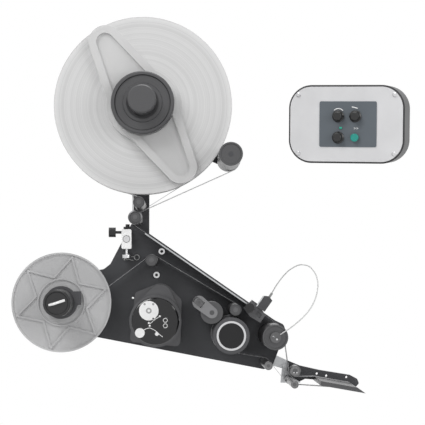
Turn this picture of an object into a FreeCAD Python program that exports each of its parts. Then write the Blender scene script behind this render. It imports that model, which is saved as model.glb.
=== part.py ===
import FreeCAD, Part
import Sketcher
import math
import os
import re
from FreeCAD import Placement, Rotation, Vector

# Bottle labelling machine: a cantilevered head on one black plate, with its control box beside it.
# The front of the machine faces -Y, +X is to the right and +Z is up, in millimetres.
# The origin is the middle of the rear flange that holds the head.
# A "depth" is the distance in front of the main plate's front face: it counts along -Y.

doc = FreeCAD.newDocument("labelling_machine")
sheet = doc.addObject("Spreadsheet::Sheet", "Sizes")
aliases = []
pieces = []


def size(alias, number):
    """Write one driving dimension into the sheet under its own name."""
    row = len(aliases) + 1
    sheet.set(f"A{row}", alias)
    sheet.set(f"B{row}", str(number))
    sheet.setAlias(f"B{row}", alias)
    aliases.append(alias)


def linked(formula):
    """The formula with every alias read from the sheet."""
    return re.sub(r"[a-z][a-z0-9_]*", lambda m: ("Sizes." if m[0] in aliases else "") + m[0], str(formula))


def value(formula):
    """The number that a formula of sheet sizes gives now."""
    found = sheet.evalExpression(linked(formula))
    return float(getattr(found, "Value", found))


# ---------------------------------------------------------------- driving dimensions

# Main plate, post and rear flange
size("plate_front", 90)        # mounting face to the plate's front face
size("plate_thick", 12)
size("crown_x", -82)
size("neck_x", -90)
size("neck_z", 105)
size("elbow_x", -126.5)
size("elbow_z", 35)
size("shoulder_x", -138)
size("shoulder_z", 26)
size("tail_high_x", -212)
size("tail_high_z", 14)
size("tail_x", -252)
size("tail_upper_z", -14)
size("tail_lower_z", -58)
size("heel_x", -226)
size("heel_z", -78)
size("belly_x", 142)
size("belly_z", -149)
size("chin_x", 157)
size("chin_z", -145)
size("jaw_x", 169)
size("jaw_z", -114)
size("nose_reach", 32)         # plate edge beyond the end roller's axis
size("edge_rise", 3)           # plate edge above the web it guides
size("corner_round", 8)
size("post_dia", 46)
size("post_wall", 5)
size("flange_dia", 78)
size("flange_thick", 8)
size("bolt_circle", 63)
size("bolt_hole", 8.5)

# Web: a narrow band of labels on liner, close to the plate
size("web_back", 8)
size("web_wide", 26)
size("web_thick", 0.4)
size("web_gap", 0.3)

# Rollers
size("roller_back", 4)
size("roller_front", 138)
size("roller_dish", 2)         # hollow in a roller's front face
size("axle_dia", 8)
size("axle_fit", 0.05)         # radial running clearance
size("foot_dia", 14)
size("foot_thick", 3)
size("stud_dia", 6)
size("nut_dia", 11.5)
size("nut_thick", 5)
size("idler_dia", 19.2)
size("guide_dia", 19.6)
size("return_dia", 14.2)
size("end_dia", 42.8)
size("end_cap_dia", 18)
size("end_cap_front", 146)
size("peel_upper_dia", 19)
size("peel_lower_dia", 13)
size("drive_dia", 61)
size("drive_sleeve_dia", 48.2)
size("pressure_dia", 37.6)
size("dancer_dia", 40)
size("upper_idler_x", -73.2)
size("upper_idler_z", 136.2)
size("lower_idler_x", -79.4)
size("lower_idler_z", 111.4)
size("idler_flange_dia", 24)
size("upper_guide_x", -52)
size("upper_guide_z", 40)
size("lower_guide_x", 87.5)
size("lower_guide_z", -42.5)
size("end_x", 153.5)
size("end_z", -88)
size("return_x", 142)
size("return_z", -135)
size("peel_upper_x", 194.5)
size("peel_upper_z", -150)
size("peel_upper_front", 40)
size("peel_lower_x", 185.5)
size("peel_lower_z", -166)
size("drive_x", 80.5)
size("drive_z", -85.5)
size("nip_angle", 130)
size("pivot_x", 27)
size("pivot_z", -30)
size("pivot_dia", 10)
size("lever_thick", 5)
size("lever_front", 144)

# Supply reel and dancer
size("supply_x", -69)
size("supply_z", 310.5)
size("roll_dia", 309.6)
size("core_bore", 76.2)
size("core_wall", 3)
size("mandrel_dia", 75.6)
size("spindle_dia", 20)
size("spindle_front", 108)
size("back_disc_dia", 304)
size("back_disc_depth", 1.5)
size("back_disc_thick", 5)
size("arm_thick", 16)
size("arm_reach", 126.8)
size("arm_angle", 121.1)
size("arm_centre_dia", 111.6)
size("arm_boss_dia", 126)
size("arm_boss_thick", 8)
size("arm_end_dia", 56.8)
size("arm_rim", 13)
size("arm_pocket", 6)
size("hub_dia", 108.6)
size("hub_front", 76)
size("knob_front", 127)
size("knob_dia", 48)
size("dancer_reach", 176)
size("dancer_angle", -32.1)
size("dancer_arm_thick", 9)
size("nose_dia", 48)
size("nose_front", 1)
size("column_left", -86)
size("column_right", -59)
size("column_foot", 2)
size("column_thick", 25)
size("column_step", 73)
size("column_foot_right", -29)
size("strap_wide", 4)
size("strap_thick", 1.2)
size("strap_clip_x", -58)
size("strap_clip_z", 136.5)

# Rewind reel
size("rewind_x", -208.5)
size("rewind_z", -31.5)
size("rewind_mandrel_dia", 45.8)
size("rewind_front", 136)
size("rewind_disc_dia", 171.4)
size("rewind_disc_depth", 35)
size("rewind_disc_thick", 3)
size("rewind_rib", 3)
size("rewind_back_dia", 164)
size("liner_dia", 51.4)
size("clamp_wide", 12)
size("clamp_dia", 50)

# Motor housing, pulleys and belts
size("motor_x", -46.5)
size("motor_z", -63.5)
size("drum_dia", 89)
size("drum_front", 58)
size("cap_dia", 80.8)
size("cap_front", 66)
size("lobe_x", -38.5)
size("lobe_z", -21)
size("lobe_dia", 40)
size("lobe_front", 44)
size("housing_foot", 6)
size("housing_wall", 3)
size("motor_dia", 66)
size("motor_long", 46)
size("motor_shaft_dia", 8)
size("shaft_dia", 16)
size("belt_wide", 9)
size("belt_thick", 1.5)
size("drive_belt_depth", -31)
size("rewind_belt_depth", -46)
size("motor_pulley_dia", 24)
size("drive_pulley_dia", 48)
size("transfer_pulley_dia", 32)
size("rewind_pulley_dia", 64)

# Peel arm
size("peel_plate_thick", 10)
size("blade_back_x", 228.5)
size("blade_top_z", -160)
size("blade_low_z", -167.5)
size("blade_shoulder_x", 289.5)
size("blade_shoulder_z", -171)
size("blade_tip_x", 303)
size("blade_tip_z", -180.6)
size("blade_front", 138)

# Web brake beside the neck of the plate
size("brake_x", -97.5)
size("brake_z", 78)
size("brake_wide", 17)
size("brake_tall", 34)
size("brake_thick", 28)
size("brake_knob_dia", 17)
size("brake_knob_z", 90)
size("brake_knob_left", -128.6)
size("brake_knob_long", 12.2)
size("brake_stem_dia", 5)
size("thumbnut_dia", 15)
size("thumbnut_z", 51)
size("rod_wide", 3)
size("rod_depth", -24)
size("rod_low_z", 96)
size("rod_high_z", 215)

# Label sensor
size("sensor_thick", 22)
size("fork_gap", 8)
size("fork_reach", 24)
size("sensor_knob_dia", 16)
size("sensor_knob_x", 115)
size("sensor_knob_z", -40.5)
size("cable_dia", 2)

# Control box, standing by itself
size("box_wide", 200)
size("box_tall", 134)
size("box_deep", 70)
size("box_round", 40)
size("box_x", 279.6)
size("box_z", 273.2)
size("box_depth", 80)
size("box_yaw", -16)
size("box_pitch", 6)
size("box_roll", 1.85)
size("box_wall", 3)
size("face_inset", 3)
size("face_thick", 3)
size("panel_aside", 3.4)      # the panel sits a little right of the middle
size("panel_wide", 98.5)
size("panel_tall", 78)
size("panel_thick", 1.5)
size("screw_inset", 17)
size("dial_dia", 20.5)
size("dial_tall", 14)
size("button_dia", 13.8)
size("gap", 0.3)             # gap between pieces that move past each other
size("seat", 0.05)             # fit of pieces that stay together
doc.recompute()

# ---------------------------------------------------------------- building blocks

FRONTWARDS = Rotation(Vector(1, 0, 0), 90)     # turns a solid's +Z to the machine's front


def keep(obj, name):
    """Enter a finished sub-part under the name of its file."""
    obj.Label = name
    pieces.append(obj)
    return obj


def place(obj, x=0, z=0, depth=0, rotation=None):
    """Put an object at a place on the plate, with its depth in front of the plate's face."""
    if rotation is not None:
        obj.Placement = Placement(Vector(), rotation)
    obj.setExpression(".Placement.Base.x", linked(x))
    obj.setExpression(".Placement.Base.y", linked(f"-(plate_front + ({depth}))"))
    obj.setExpression(".Placement.Base.z", linked(z))
    return obj


def new_sketch(body, role):
    """A sketch on one of the body's own origin planes."""
    sketch = body.newObject("Sketcher::SketchObject", body.Name + "_sketch")
    plane = next(f for f in body.Origin.OriginFeatures if f.Role == role)
    sketch.AttachmentSupport = [(plane, "")]
    sketch.MapMode = "FlatFace"
    return sketch


def pin_point(sketch, geometry, end, u, v):
    """Dimension one point of a sketch from the origin."""
    for kind, formula in (("DistanceX", u), ("DistanceY", v)):
        index = sketch.addConstraint(Sketcher.Constraint(kind, -1, 1, geometry, end, value(formula)))
        sketch.setExpression(f"Constraints[{index}]", linked(formula))


def polygon(sketch, corners):
    """A closed outline of straight lines through dimensioned corners."""
    spots = [Vector(value(u), value(v), 0) for u, v in corners]
    lines = [sketch.addGeometry(Part.LineSegment(spot, spots[(i + 1) % len(spots)]), False)
             for i, spot in enumerate(spots)]
    for i, line in enumerate(lines):
        sketch.addConstraint(Sketcher.Constraint("Coincident", line, 2, lines[(i + 1) % len(lines)], 1))
    for line, (u, v) in zip(lines, corners):
        pin_point(sketch, line, 1, u, v)


def circle(sketch, u, v, diameter):
    """A dimensioned circle."""
    index = sketch.addGeometry(Part.Circle(Vector(value(u), value(v), 0), Vector(0, 0, 1),
                                           value(diameter) / 2), False)
    pin_point(sketch, index, 3, u, v)
    radius = sketch.addConstraint(Sketcher.Constraint("Radius", index, value(diameter) / 2))
    sketch.setExpression(f"Constraints[{radius}]", linked(f"({diameter}) / 2"))


def hull(sketch, rounds):
    """An outline that wraps circles (u, v, diameter) in turn, counter-clockwise, with tangent lines."""
    spots = [(value(u), value(v), value(d) / 2) for u, v, d in rounds]
    angles = []
    for i, (u, v, r) in enumerate(spots):
        u2, v2, r2 = spots[(i + 1) % len(spots)]
        span = math.hypot(u2 - u, v2 - v)
        angles.append(math.atan2(v2 - v, u2 - u) - math.acos((r - r2) / span))
    arcs = []
    lines = []
    for i, (u, v, r) in enumerate(spots):
        whole = Part.Circle(Vector(u, v, 0), Vector(0, 0, 1), r)
        arcs.append(sketch.addGeometry(Part.ArcOfCircle(whole, angles[i - 1], angles[i]), False))
    for i, (u, v, r) in enumerate(spots):
        u2, v2, r2 = spots[(i + 1) % len(spots)]
        across = Vector(math.cos(angles[i]), math.sin(angles[i]), 0)
        lines.append(sketch.addGeometry(Part.LineSegment(
            Vector(u, v, 0) + across * r, Vector(u2, v2, 0) + across * r2), False))
    for i, arc in enumerate(arcs):
        sketch.addConstraint(Sketcher.Constraint("Tangent", arc, 2, lines[i], 1))
        sketch.addConstraint(Sketcher.Constraint("Tangent", lines[i], 2, arcs[(i + 1) % len(arcs)], 1))
    for arc, (u, v, d) in zip(arcs, rounds):
        pin_point(sketch, arc, 3, u, v)
        radius = sketch.addConstraint(Sketcher.Constraint("Radius", arc, value(d) / 2))
        sketch.setExpression(f"Constraints[{radius}]", linked(f"({d}) / 2"))


def padded(name, draw, depth, thick, holes=()):
    """A flat piece: an outline in the plate's plane, with round holes, made thick towards the front."""
    body = doc.addObject("PartDesign::Body", name)
    sketch = new_sketch(body, "XZ_Plane")
    draw(sketch)
    for u, v, diameter in holes:
        circle(sketch, u, v, diameter)
    pad = body.newObject("PartDesign::Pad", name + "_pad")
    pad.Profile = sketch
    pad.setExpression("Length", linked(thick))
    place(body, 0, 0, depth)
    return body


def near(spots, edge):
    """Whether an edge runs front to back through one of the given corners."""
    ends = [vertex.Point for vertex in edge.Vertexes]
    if len(ends) != 2 or abs(ends[0].y - ends[1].y) < 0.5:
        return False
    return any(max(math.hypot(end.x - u, end.z - v) for end in ends) < 0.05 for u, v in spots)


def rounded(body, corners, radius):
    """Round the edges of a flat piece that run front to back through the given corners."""
    doc.recompute()
    spots = [(value(u), value(v)) for u, v in corners]
    base = body.Tip
    edges = [f"Edge{i}" for i, edge in enumerate(base.Shape.Edges, 1) if near(spots, edge)]
    fillet = body.newObject("PartDesign::Fillet", body.Name + "_fillet")
    fillet.Base = (base, edges)
    fillet.setExpression("Radius", linked(radius))


def add_pad(body, draw, start, thick):
    """A further pad on a flat piece, from a depth above its back."""
    sketch = new_sketch(body, "XZ_Plane")
    sketch.setExpression("AttachmentOffset.Base.z", linked(start))
    draw(sketch)
    pad = body.newObject("PartDesign::Pad", body.Name + "_boss")
    pad.Profile = sketch
    pad.setExpression("Length", linked(thick))


def cut_pocket(body, draw, front, deep):
    """A pocket from a depth above a flat piece's back, cut backwards into it."""
    doc.recompute()
    before = body.Shape.Volume
    sketch = new_sketch(body, "XZ_Plane")
    sketch.setExpression("AttachmentOffset.Base.z", linked(front))
    draw(sketch)
    pocket = body.newObject("PartDesign::Pocket", body.Name + "_pocket")
    pocket.Profile = sketch
    pocket.setExpression("Length", linked(deep))
    doc.recompute()
    if body.Shape.Volume >= before - 0.01:
        raise RuntimeError(f"the pocket in {body.Name} cuts nothing")


def turned(name, profile, x, z):
    """A piece turned about a line along the depth: its profile lists radius and depth."""
    body = doc.addObject("PartDesign::Body", name)
    sketch = new_sketch(body, "XY_Plane")
    polygon(sketch, [(radius, f"-({depth})") for radius, depth in profile])
    turn = body.newObject("PartDesign::Revolution", name + "_turn")
    turn.Profile = sketch
    turn.ReferenceAxis = (sketch, ["V_Axis"])
    turn.Angle = 360
    return place(body, x, z)


def rod(name, x, z, depth, diameter, long):
    """A round bar along the depth, from a depth towards the front."""
    bar = doc.addObject("Part::Cylinder", name)
    bar.setExpression("Radius", linked(f"({diameter}) / 2"))
    bar.setExpression("Height", linked(long))
    return place(bar, x, z, depth, FRONTWARDS)


def hexagon(name, x, z, depth, across, thick):
    """A hexagonal nut along the depth."""
    nut = doc.addObject("Part::Prism", name)
    nut.Polygon = 6
    nut.setExpression("Circumradius", linked(f"({across}) / 2"))
    nut.setExpression("Height", linked(thick))
    return place(nut, x, z, depth, FRONTWARDS)


def joined(name, parts):
    """Several pieces fused, or kept side by side where they don't meet."""
    union = doc.addObject("Part::MultiFuse", name)
    union.Shapes = parts
    return union


def cut(name, base, tool):
    """One piece with another taken out of it."""
    left = doc.addObject("Part::Cut", name)
    left.Base = base
    left.Tool = tool
    return left


def shaped(name, shape):
    """A piece whose shape is worked out from the sheet's sizes."""
    feature = doc.addObject("Part::Feature", name)
    feature.Shape = shape
    return feature


# A band of web or belt is followed as straight runs and arcs in the plate's plane.

def tangent_route(stops, closed=False):
    """Runs and arcs of a band past rollers (x, z, radius, turn): turn 1 is counter-clockwise."""
    count = len(stops)
    headings = []
    for i in range(count if closed else count - 1):
        x1, z1, r1, t1 = stops[i]
        x2, z2, r2, t2 = stops[(i + 1) % count]
        span = math.hypot(x2 - x1, z2 - z1)
        lean = math.asin((t1 * r1 - t2 * r2) / span)
        headings.append(math.atan2(z2 - z1, x2 - x1) + lean)
    route = []
    for i, (x, z, r, t) in enumerate(stops):
        inward = headings[i - 1] if i or closed else None
        outward = headings[i] if i < len(headings) else None
        spots = [None if h is None else (x + t * r * math.sin(h), z - t * r * math.cos(h))
                 for h in (inward, outward)]
        if inward is not None and outward is not None and r > 0:
            sweep = (outward - inward) * t % (2 * math.pi)
            route.append(("arc", (x, z), r, inward - t * math.pi / 2, t * sweep))
        if outward is not None:
            x2, z2, r2, t2 = stops[(i + 1) % count]
            end = (x2 + t2 * r2 * math.sin(outward), z2 - t2 * r2 * math.cos(outward))
            route.append(("run", spots[1], end))
    return route


def side_edges(route, offset):
    """The route's edges, moved to its left by an offset."""
    edges = []
    for piece in route:
        if piece[0] == "run":
            (x1, z1), (x2, z2) = piece[1:]
            span = math.hypot(x2 - x1, z2 - z1)
            shift = Vector(-(z2 - z1) / span * offset, 0, (x2 - x1) / span * offset)
            edges.append(Part.LineSegment(Vector(x1, 0, z1) + shift, Vector(x2, 0, z2) + shift).toShape())
        else:
            (x, z), r, start, sweep = piece[1:]
            radius = r - offset * math.copysign(1, sweep)
            spots = [Vector(x + radius * math.cos(start + sweep * k / 2), 0,
                            z + radius * math.sin(start + sweep * k / 2)) for k in range(3)]
            edges.append(Part.Arc(*spots).toShape())
    return edges


def band(route, thick, depth, wide, closed=False):
    """A solid band along a route, standing on its depth."""
    left = side_edges(route, thick / 2)
    right = side_edges(route, -thick / 2)
    if closed:
        wires = [Part.Wire(left), Part.Wire(right)]
        wires.sort(key=lambda wire: wire.BoundBox.DiagonalLength)
        face = Part.Face(wires[1]).cut(Part.Face(wires[0])).Faces[0]
    else:
        caps = [Part.makeLine(left[i].valueAt(left[i].LastParameter if i else left[i].FirstParameter),
                              right[i].valueAt(right[i].LastParameter if i else right[i].FirstParameter))
                for i in (0, -1)]
        face = Part.Face(Part.Wire(Part.__sortEdges__(left + right + caps)))
    solid = face.extrude(Vector(0, -wide, 0))
    solid.translate(Vector(0, -(value("plate_front") + depth), 0))
    return solid


# ---------------------------------------------------------------- the web's route, worked out once

WEB_OUT = "(web_gap + web_thick / 2)"          # web's middle line beyond a roller's face
BLADE_EASE = 0.2


def stop(x, z, diameter, turn):
    """A roller of the web's route."""
    return (value(x), value(z), value(f"({diameter}) / 2 + {WEB_OUT}"), turn)


def blade_stop(x, z):
    """An edge of the blade that the web bends over."""
    return (value(x), value(z), BLADE_EASE + value("web_thick") / 2, -1)


DANCER_X = "(supply_x + dancer_reach * cos(dancer_angle))"
DANCER_Z = "(supply_z + dancer_reach * sin(dancer_angle))"
NIP_SPAN = "((drive_dia + pressure_dia) / 2 + web_thick + 2 * web_gap)"
PRESSURE_X = f"(drive_x + {NIP_SPAN} * cos(nip_angle))"
PRESSURE_Z = f"(drive_z + {NIP_SPAN} * sin(nip_angle))"

route = tangent_route([
    stop("supply_x", "supply_z", "roll_dia", 1),
    stop(DANCER_X, DANCER_Z, "dancer_dia", -1),
    stop("lower_idler_x", "lower_idler_z", "idler_dia", 1),
    stop("end_x", "end_z", "end_dia", -1),
    stop("peel_upper_x", "peel_upper_z", "peel_upper_dia", 1),
    blade_stop("blade_back_x", "blade_top_z"),
    blade_stop("blade_shoulder_x", "blade_shoulder_z"),
    blade_stop("blade_tip_x", "blade_tip_z"),
    stop("peel_lower_x", "peel_lower_z", "peel_lower_dia", -1),
    stop("return_x", "return_z", "return_dia", 1),
    stop("drive_x", "drive_z", "drive_dia", -1),
    stop("lower_guide_x", "lower_guide_z", "guide_dia", 1),
    stop("upper_guide_x", "upper_guide_z", "guide_dia", 1),
    stop("rewind_x", "rewind_z", "liner_dia", -1),
])

# The sloping edge of the plate lies along the run between the lower idler and the end roller.
RUN_DX = "(end_x - lower_idler_x)"
RUN_DZ = "(end_z - lower_idler_z)"
RUN_RADII = f"((idler_dia + end_dia) / 2 + 2 * {WEB_OUT})"
RUN_ANGLE = f"(atan2({RUN_DZ}; {RUN_DX}) + asin({RUN_RADII} / sqrt({RUN_DX}^2 + {RUN_DZ}^2)))"
RUN_OFF = f"((idler_dia / 2 + {WEB_OUT}) / cos({RUN_ANGLE}))"


def run_z(x, above):
    """The height, at x, of a line parallel to that run and a distance above it."""
    level = f"lower_idler_z + (({x}) - lower_idler_x) * tan({RUN_ANGLE}) - {RUN_OFF}"
    return f"({level} + ({above}) / cos({RUN_ANGLE}))"


# ---------------------------------------------------------------- plate, post and flange

NOSE_LOW = ("end_x + nose_reach", "end_z - 8")
NOSE_HIGH = ("end_x + nose_reach - 8", "end_z + 17")
BROW = ("end_x + 8", run_z("end_x + 8", "edge_rise"))
plate_corners = [
    ("heel_x", "heel_z"), ("belly_x", "belly_z"), ("chin_x", "chin_z"), ("jaw_x", "jaw_z"),
    NOSE_LOW, NOSE_HIGH, BROW, ("crown_x", run_z("crown_x", "edge_rise")),
    ("neck_x", "neck_z"), ("elbow_x", "elbow_z"), ("shoulder_x", "shoulder_z"),
    ("tail_high_x", "tail_high_z"), ("tail_x", "tail_upper_z"), ("tail_x", "tail_lower_z")]
STUD_HOLE = "stud_dia + 2 * seat"
SHAFT_HOLE = "shaft_dia + 12 + 2 * seat"
plate_holes = [
    ("upper_guide_x", "upper_guide_z", STUD_HOLE), ("lower_guide_x", "lower_guide_z", STUD_HOLE),
    ("end_x", "end_z", STUD_HOLE), ("return_x", "return_z", STUD_HOLE), ("pivot_x", "pivot_z", STUD_HOLE),
    ("drive_x", "drive_z", SHAFT_HOLE), ("rewind_x", "rewind_z", SHAFT_HOLE),
    ("motor_x", "motor_z", "motor_shaft_dia + 4"), ("-87", "-24.6", "4")]
plate = padded("main_plate", lambda sketch: polygon(sketch, plate_corners),
               "-plate_thick", "plate_thick", plate_holes)
rounded(plate, plate_corners[:1] + plate_corners[3:7] + plate_corners[9:14], "corner_round")
keep(plate, "main_plate")

# A round tube carries the head from the flange and is welded to both.
post = padded("mounting_bracket", lambda sketch: circle(sketch, "0", "0", "flange_dia"),
              "-plate_front", "flange_thick",
              [(f"{a} * bolt_circle / 2 * cos(45)", f"{b} * bolt_circle / 2 * sin(45)", "bolt_hole")
               for a in (-1, 1) for b in (-1, 1)])
add_pad(post, lambda sketch: circle(sketch, "0", "0", "post_dia"), "flange_thick",
        "plate_front - plate_thick - flange_thick")
cut_pocket(post, lambda sketch: circle(sketch, "0", "0", "post_dia - 2 * post_wall"),
           "plate_front - plate_thick", "plate_front - plate_thick")
keep(post, "mounting_bracket")

# The column stands behind the plate on a wide foot and carries the reel and both idlers.
COLUMN_DEPTH = "(-plate_thick - column_thick)"
column = padded("reel_column", lambda sketch: polygon(sketch, [
    ("column_left", "column_foot"), ("column_foot_right - 9", "column_foot"),
    ("column_foot_right", "column_foot + 9"), ("column_foot_right", "column_step - 18"),
    ("column_right", "column_step"), ("column_right", "supply_z"), ("column_left", "supply_z")]),
    COLUMN_DEPTH, "column_thick",
    [("upper_idler_x", "upper_idler_z", STUD_HOLE), ("lower_idler_x", "lower_idler_z", STUD_HOLE),
     ("upper_guide_x", "upper_guide_z", STUD_HOLE)])
add_pad(column, lambda sketch: circle(sketch, "supply_x", "supply_z", "nose_dia + 16"), "0", "column_thick")
cut_pocket(column, lambda sketch: circle(sketch, "supply_x", "supply_z", "nose_dia - 16 + 2 * seat"),
           "column_thick", "column_thick")
keep(column, "reel_column")

# Cap screws: a socket head on the plate's face and a shank into what it holds.
SCREW_SPOTS = [("-36.5", "57"), ("-45.5", "15.8")]


def cap_screw(name, x, z, depth, head_dia):
    """A socket-head screw, its head standing on a depth."""
    head = rod(name + "_head", x, z, depth, head_dia, "5")
    socket = hexagon(name + "_socket", x, z, f"({depth}) + 2.5", f"({head_dia}) / 2", "3")
    return cut(name, head, socket)


screws = [cap_screw(f"plate_screw_{i}", x, z, "0", "11") for i, (x, z) in enumerate(SCREW_SPOTS)]
screws.append(cap_screw("brake_screw", "brake_x", "brake_z", "brake_thick - 6", "11"))

# ---------------------------------------------------------------- axles and rollers

AXLE_SPOTS = {
    "upper_idler": ("upper_idler_x", "upper_idler_z", "-plate_thick", "-plate_thick - column_thick"),
    "lower_idler": ("lower_idler_x", "lower_idler_z", "-plate_thick", "-plate_thick - column_thick"),
    "upper_guide": ("upper_guide_x", "upper_guide_z", "0", "-plate_thick - column_thick"),
    "lower_guide": ("lower_guide_x", "lower_guide_z", "0", "-plate_thick"),
    "end": ("end_x", "end_z", "0", "-plate_thick"),
    "return": ("return_x", "return_z", "0", "-plate_thick"),
    "peel_lower": ("peel_lower_x", "peel_lower_z", "-plate_thick", "-plate_thick - peel_plate_thick"),
    "peel_upper": ("peel_upper_x", "peel_upper_z", "0", "-plate_thick - peel_plate_thick"),
}
AXLE_END = {"peel_upper": "peel_upper_front - roller_dish / 2"}
AXLE_DIA = {"return": "axle_dia - 2", "peel_lower": "axle_dia - 2"}


def axle(name):
    """A fixed axle: nut behind, stud through its carrier, collar in front and a plain shaft."""
    x, z, face, back = AXLE_SPOTS[name]
    dia = AXLE_DIA.get(name, "axle_dia")
    end = AXLE_END.get(name, "roller_front - roller_dish / 2")
    parts = [hexagon(name + "_nut", x, z, f"{back} - nut_thick", "nut_dia", "nut_thick"),
             rod(name + "_stud", x, z, back, "stud_dia", f"({face}) - ({back})"),
             rod(name + "_collar", x, z, face, f"{dia} + 6", "foot_thick"),
             rod(name + "_shaft", x, z, f"({face}) + foot_thick", dia, f"({end}) - ({face}) - foot_thick")]
    return parts


axle_parts = [piece for name in AXLE_SPOTS for piece in axle(name)]
axle_parts.append(rod("end_hub", "end_x", "end_z", "roller_front + gap", "end_cap_dia",
                      "end_cap_front - roller_front - gap"))
axle_parts.append(rod("end_neck", "end_x", "end_z", "roller_front - roller_dish / 2", "axle_dia",
                      "roller_dish / 2 + gap"))
for side in (-1, 1):
    axle_parts.append(rod(f"end_screw_{side + 1}", f"end_x + {side} * 4.4", "end_z",
                          "end_cap_front", "3.4", "1"))
pivot = [hexagon("pivot_nut", "pivot_x", "pivot_z", "-plate_thick - nut_thick", "nut_dia", "nut_thick"),
         rod("pivot_stud", "pivot_x", "pivot_z", "-plate_thick", "stud_dia", "plate_thick"),
         rod("pivot_post", "pivot_x", "pivot_z", "0", "pivot_dia", "lever_front + gap"),
         cap_screw("pivot_cap", "pivot_x", "pivot_z", "lever_front + gap", "pivot_dia")]
keep(joined("roller_axles", axle_parts + pivot), "roller_axles")


def roller(name, x, z, diameter, bore, back="roller_back", front="roller_front", rim="1"):
    """A roller sleeve: bored through, with broken edges and a shallow dish in its front face."""
    r = f"({diameter}) / 2"
    hole = f"({bore}) / 2 + axle_fit"
    lip = f"({r} - {rim})"
    return keep(turned(name, [
        (hole, back), (f"{r} - 0.5", back), (r, f"{back} + 0.5"), (r, f"{front} - 0.5"),
        (f"{r} - 0.5", front), (lip, front), (f"{lip} - 0.4", f"{front} - roller_dish"),
        (hole, f"{front} - roller_dish")], x, z), name)


def flanged_roller(name, x, z, diameter, bore):
    """An idler with a flange beside the web and a wider rim near its front end."""
    r = f"({diameter}) / 2"
    hole = f"({bore}) / 2 + axle_fit"
    rim = "(idler_flange_dia / 2)"
    return keep(turned(name, [
        (hole, "roller_back"), (r, "roller_back"), (r, "roller_front - 14"), (rim, "roller_front - 13"),
        (rim, "roller_front - 11"), (r, "roller_front - 10"), (r, "roller_front - 0.5"),
        (f"{r} - 0.5", "roller_front"), (f"{r} - 1.2", "roller_front"),
        (f"{r} - 1.6", "roller_front - roller_dish"), (hole, "roller_front - roller_dish")], x, z), name)


roller("upper_idler", "upper_idler_x", "upper_idler_z", "idler_dia", "axle_dia")
flanged_roller("lower_idler", "lower_idler_x", "lower_idler_z", "idler_dia", "axle_dia")
roller("upper_guide_roller", "upper_guide_x", "upper_guide_z", "guide_dia", "axle_dia")
roller("lower_guide_roller", "lower_guide_x", "lower_guide_z", "guide_dia", "axle_dia")
roller("end_roller", "end_x", "end_z", "end_dia", "axle_dia", rim="3")
roller("return_roller", "return_x", "return_z", "return_dia", "axle_dia - 2")
roller("peel_upper_roller", "peel_upper_x", "peel_upper_z", "peel_upper_dia", "axle_dia",
       front="peel_upper_front")
roller("peel_lower_roller", "peel_lower_x", "peel_lower_z", "peel_lower_dia", "axle_dia - 2")

# Drive roller: a rubber sleeve on a shaft whose bright ring shows in front; pulleys behind.
DRIVE_BORE = "(drive_sleeve_dia / 2)"
keep(turned("drive_roller", [
    (f"{DRIVE_BORE} + seat", "roller_back"), ("drive_dia / 2 - 1", "roller_back"),
    ("drive_dia / 2", "roller_back + 1"), ("drive_dia / 2", "roller_front - 1"),
    ("drive_dia / 2 - 1", "roller_front"), (f"{DRIVE_BORE} + seat", "roller_front")],
    "drive_x", "drive_z"), "drive_roller")
drive_shaft = turned("drive_shaft", [
    ("0", "rewind_belt_depth - 1"), ("shaft_dia / 2", "rewind_belt_depth - 1"),
    ("shaft_dia / 2", "roller_back"), (DRIVE_BORE, "roller_back"), (DRIVE_BORE, "roller_front"),
    (f"{DRIVE_BORE} - 3", "roller_front"), (f"{DRIVE_BORE} - 3.5", "roller_front - 5"),
    ("0", "roller_front - 5")], "drive_x", "drive_z")


def pulley(name, x, z, depth, diameter, bore):
    """A belt pulley with a raised rim on both sides of its belt."""
    r = f"({diameter}) / 2"
    rim = f"({r} + belt_thick + 1)"
    hole = f"({bore}) / 2"
    return turned(name, [
        (hole, f"({depth}) - 1.5"), (rim, f"({depth}) - 1.5"), (rim, f"({depth}) - gap"),
        (r, f"({depth}) - gap"), (r, f"({depth}) + belt_wide + gap"),
        (rim, f"({depth}) + belt_wide + gap"), (rim, f"({depth}) + belt_wide + 1.5"),
        (hole, f"({depth}) + belt_wide + 1.5")], x, z)


keep(joined("drive_core", [
    drive_shaft,
    pulley("drive_pulley", "drive_x", "drive_z", "drive_belt_depth", "drive_pulley_dia", "shaft_dia + 2 * seat"),
    pulley("transfer_pulley", "drive_x", "drive_z", "rewind_belt_depth", "transfer_pulley_dia",
           "shaft_dia + 2 * seat")]), "drive_core")
keep(pulley("motor_pulley", "motor_x", "motor_z", "drive_belt_depth", "motor_pulley_dia",
            "motor_shaft_dia + 2 * axle_fit"), "motor_pulley")
keep(pulley("rewind_pulley", "rewind_x", "rewind_z", "rewind_belt_depth", "rewind_pulley_dia",
            "shaft_dia + 2 * axle_fit"), "rewind_pulley")

# Pressure lever: two cheeks on a sleeve that swings about the pivot post.
CHEEK_BACK = "2"
lever = padded("pressure_lever", lambda sketch: hull(sketch, [
    ("pivot_x", "pivot_z", "18"), (PRESSURE_X, PRESSURE_Z, "18.8")]), CHEEK_BACK, "lever_thick",
    [("pivot_x", "pivot_z", "pivot_dia + 2 * axle_fit"), (PRESSURE_X, PRESSURE_Z, "axle_dia + 2 * axle_fit")])


def sleeve(sketch):
    """The section of the sleeve on the pivot post."""
    circle(sketch, "pivot_x", "pivot_z", "16")
    circle(sketch, "pivot_x", "pivot_z", "pivot_dia + 2 * axle_fit")


def front_cheek(sketch):
    """The front cheek's outline and its holes."""
    hull(sketch, [("pivot_x", "pivot_z", "22"), (PRESSURE_X, PRESSURE_Z, "18.8")])
    circle(sketch, "pivot_x", "pivot_z", "pivot_dia + 2 * axle_fit")
    circle(sketch, PRESSURE_X, PRESSURE_Z, "axle_dia + 2 * axle_fit")


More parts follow.
